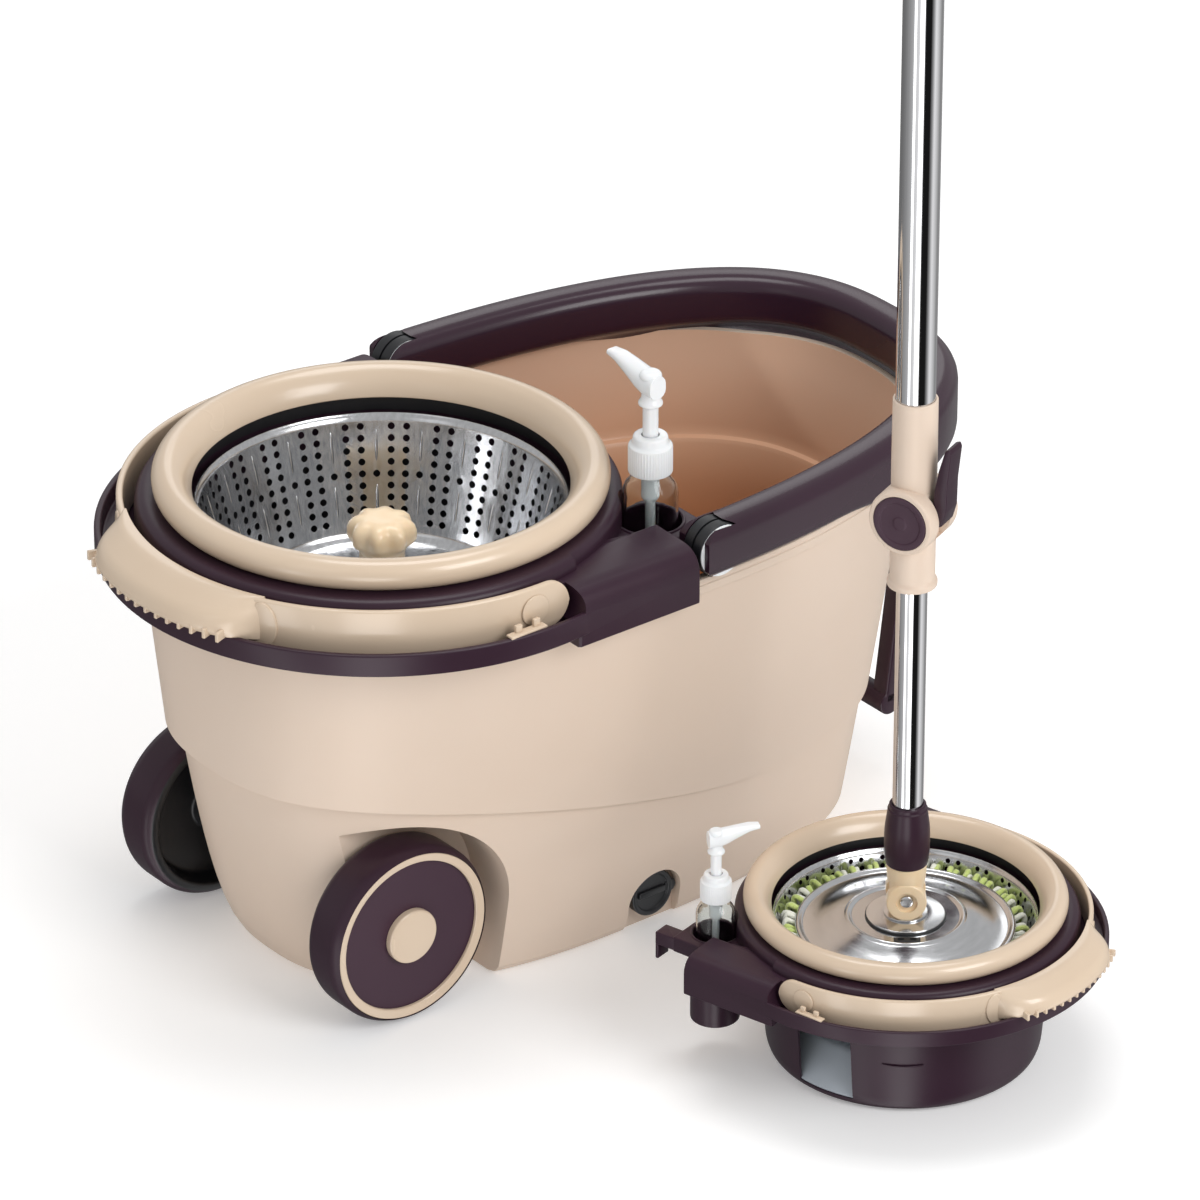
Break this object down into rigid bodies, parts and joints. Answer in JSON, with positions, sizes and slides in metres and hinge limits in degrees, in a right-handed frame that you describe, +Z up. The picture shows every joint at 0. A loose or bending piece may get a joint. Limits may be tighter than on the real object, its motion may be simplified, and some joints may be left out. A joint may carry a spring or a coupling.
{
  "type": "spin mop set",
  "caption": "Wheeled oval bucket with a docked spin wringer, a smaller free-standing wringer, and a spin mop parked in it on a telescopic chromed pole.",
  "frame": {"origin": "on the floor, on the bucket's flat base, under the spin axis of the docked wringer", "axes": "+X along the bucket from the wheels' end towards the pouring end, -Y the side with the drain cap, +Z up"},
  "size_m": [0.555, 0.58, 1.204],
  "materials": {
    "beige_body": "satin moulded",
    "tan_trim": "gloss moulded",
    "amber_plastic": "gloss moulded",
    "black_plastic": "satin",
    "white_plastic": "gloss",
    "clear_plastic": "clear",
    "chromed_tube": "mirror chrome",
    "microfibre": "looped strands",
    "polished_steel": "polished",
    "purple_plastic": "satin moulded"
  },
  "bodies": {
    "bucket": {"bucket_shell": "beige_body", "axle_near": "polished_steel", "axle_far": "polished_steel", "carry_drum_near": "black_plastic", "carry_drum_far": "black_plastic", "tow_pin": "polished_steel"},
    "wheel_near_unit": {"wheel_near": "purple_plastic", "wheel_trim_near": "tan_trim", "hub_cap_near": "tan_trim"},
    "wheel_far_unit": {"wheel_far": "purple_plastic", "wheel_trim_far": "tan_trim", "hub_cap_far": "tan_trim"},
    "carry_bar": {"carry_handle": "purple_plastic"},
    "tow_bar": {"tow_handle": "purple_plastic"},
    "drain_plug": {"drain_cap": "black_plastic"},
    "docked_wringer": {"docked_deck": "purple_plastic", "docked_tub": "purple_plastic", "docked_splash_ring": "tan_trim", "docked_bearing": "polished_steel", "docked_bail_pin_a": "tan_trim", "docked_bail_pin_b": "tan_trim"},
    "docked_spinner": {"docked_basket": "polished_steel", "docked_hub_post": "amber_plastic", "docked_spindle": "polished_steel"},
    "docked_bail_arm": {"docked_bail": "tan_trim"},
    "docked_soap_bottle": {"docked_bottle": "clear_plastic", "docked_pump_collar": "white_plastic"},
    "docked_pump": {"docked_pump_head": "white_plastic"},
    "free_wringer": {"free_deck": "purple_plastic", "free_tub": "purple_plastic", "free_splash_ring": "tan_trim", "free_bearing": "polished_steel", "free_bail_pin_a": "tan_trim", "free_bail_pin_b": "tan_trim"},
    "free_spinner": {"free_basket": "polished_steel", "free_hub_post": "amber_plastic", "free_spindle": "polished_steel"},
    "free_bail_arm": {"free_bail": "tan_trim"},
    "free_soap_bottle": {"free_bottle": "clear_plastic", "free_pump_collar": "white_plastic"},
    "free_pump": {"free_pump_head": "white_plastic"},
    "mop_head": {"mop_plate": "polished_steel", "mop_strands": "microfibre", "centre_disc": "polished_steel", "knuckle_base": "amber_plastic", "knuckle_pin": "polished_steel"},
    "lower_pole": {"knuckle": "amber_plastic", "ferrule": "purple_plastic", "lower_tube": "chromed_tube"},
    "nut": {"drive_nut": "black_plastic"},
    "upper_pole": {"upper_tube": "chromed_tube", "rod_plug": "black_plastic", "twist_rod": "polished_steel", "clamp_body": "beige_body", "clamp_pin": "polished_steel", "clamp_cap_a": "purple_plastic", "clamp_cap_b": "purple_plastic", "grip": "purple_plastic"},
    "lever": {"clamp_lever": "purple_plastic"}
  },
  "joints": [
    {"name": "wheel_near_spin", "type": "hinge", "parent": "bucket", "child": "wheel_near_unit", "pos_m": [-0.0603, -0.09, 0.0546], "axis": [0, 1, 0], "continuous": true},
    {"name": "wheel_far_spin", "type": "hinge", "parent": "bucket", "child": "wheel_far_unit", "pos_m": [-0.0603, 0.09, 0.0546], "axis": [0, 1, 0], "continuous": true},
    {"name": "carry_handle_swing", "type": "hinge", "parent": "bucket", "child": "carry_bar", "pos_m": [0.1235, 0, 0.262], "axis": [0, -1, 0], "range_deg": [0, 80]},
    {"name": "tow_handle_swing", "type": "hinge", "parent": "bucket", "child": "tow_bar", "pos_m": [0.356, 0, 0.19], "axis": [0, -1, 0], "range_deg": [0, 120]},
    {"name": "drain_cap_pull", "type": "slide", "parent": "bucket", "child": "drain_plug", "axis": [0, -1, 0], "range_m": [0, 0.03]},
    {"name": "docked_wringer_lift", "type": "slide", "parent": "bucket", "child": "docked_wringer", "axis": [0, 0, 1], "range_m": [0, 0.05]},
    {"name": "docked_basket_spin", "type": "hinge", "parent": "docked_wringer", "child": "docked_spinner", "pos_m": [0, 0, 0.1975], "axis": [0, 0, 1], "continuous": true},
    {"name": "docked_bail_swing", "type": "hinge", "parent": "docked_wringer", "child": "docked_bail_arm", "pos_m": [0.0035, 0, 0.2648], "axis": [0, 1, 0], "range_deg": [0, 95]},
    {"name": "docked_bottle_lift", "type": "slide", "parent": "docked_wringer", "child": "docked_soap_bottle", "axis": [0, 0, 1], "range_m": [0, 0.06]},
    {"name": "docked_pump_press", "type": "slide", "parent": "docked_soap_bottle", "child": "docked_pump", "axis": [0, 0, -1], "range_m": [0, 0.012], "stiffness_N_per_m": 300, "springref_m": -0.01},
    {"name": "free_wringer_lift", "type": "slide", "parent": "bucket", "child": "free_wringer", "axis": [0, 0, 1], "range_m": [0, 0.12]},
    {"name": "free_basket_spin", "type": "hinge", "parent": "free_wringer", "child": "free_spinner", "pos_m": [0.1426, -0.2965, 0.03227], "axis": [0, 0, 1], "continuous": true},
    {"name": "free_bail_swing", "type": "hinge", "parent": "free_wringer", "child": "free_bail_arm", "pos_m": [0.14194, -0.29413, 0.07958], "axis": [-0.9636, -0.2672, 0], "range_deg": [0, 45]},
    {"name": "free_bottle_lift", "type": "slide", "parent": "free_wringer", "child": "free_soap_bottle", "axis": [0, 0, 1], "range_m": [0, 0.06]},
    {"name": "free_pump_press", "type": "slide", "parent": "free_soap_bottle", "child": "free_pump", "axis": [0, 0, -1], "range_m": [0, 0.0084], "stiffness_N_per_m": 300, "springref_m": -0.01},
    {"name": "mop_lift", "type": "slide", "parent": "free_spinner", "child": "mop_head", "axis": [0, 0, 1], "range_m": [0, 0.3]},
    {"name": "pole_tilt", "type": "hinge", "parent": "mop_head", "child": "lower_pole", "pos_m": [0.1426, -0.2965, 0.0972], "axis": [-0.6157, -0.788, 0], "range_deg": [-40, 25]},
    {"name": "pole_slide", "type": "slide", "parent": "lower_pole", "child": "upper_pole", "axis": [0, 0, 1], "range_m": [-0.13, 0.2]},
    {"name": "drive_nut_spin", "type": "hinge", "parent": "lower_pole", "child": "nut", "pos_m": [0.1426, -0.2965, 0.8], "axis": [0, 0, 1], "range_deg": [-725, 475]},
    {"name": "clamp_lever_open", "type": "hinge", "parent": "upper_pole", "child": "lever", "pos_m": [0.14877, -0.31104, 0.3395], "axis": [0.9205, 0.3907, 0], "range_deg": [0, 100]}
  ],
  "couplings": [
    {"joint": "drive_nut_spin", "follows": "pole_slide", "rad_per_m": -62.832}
  ]
}
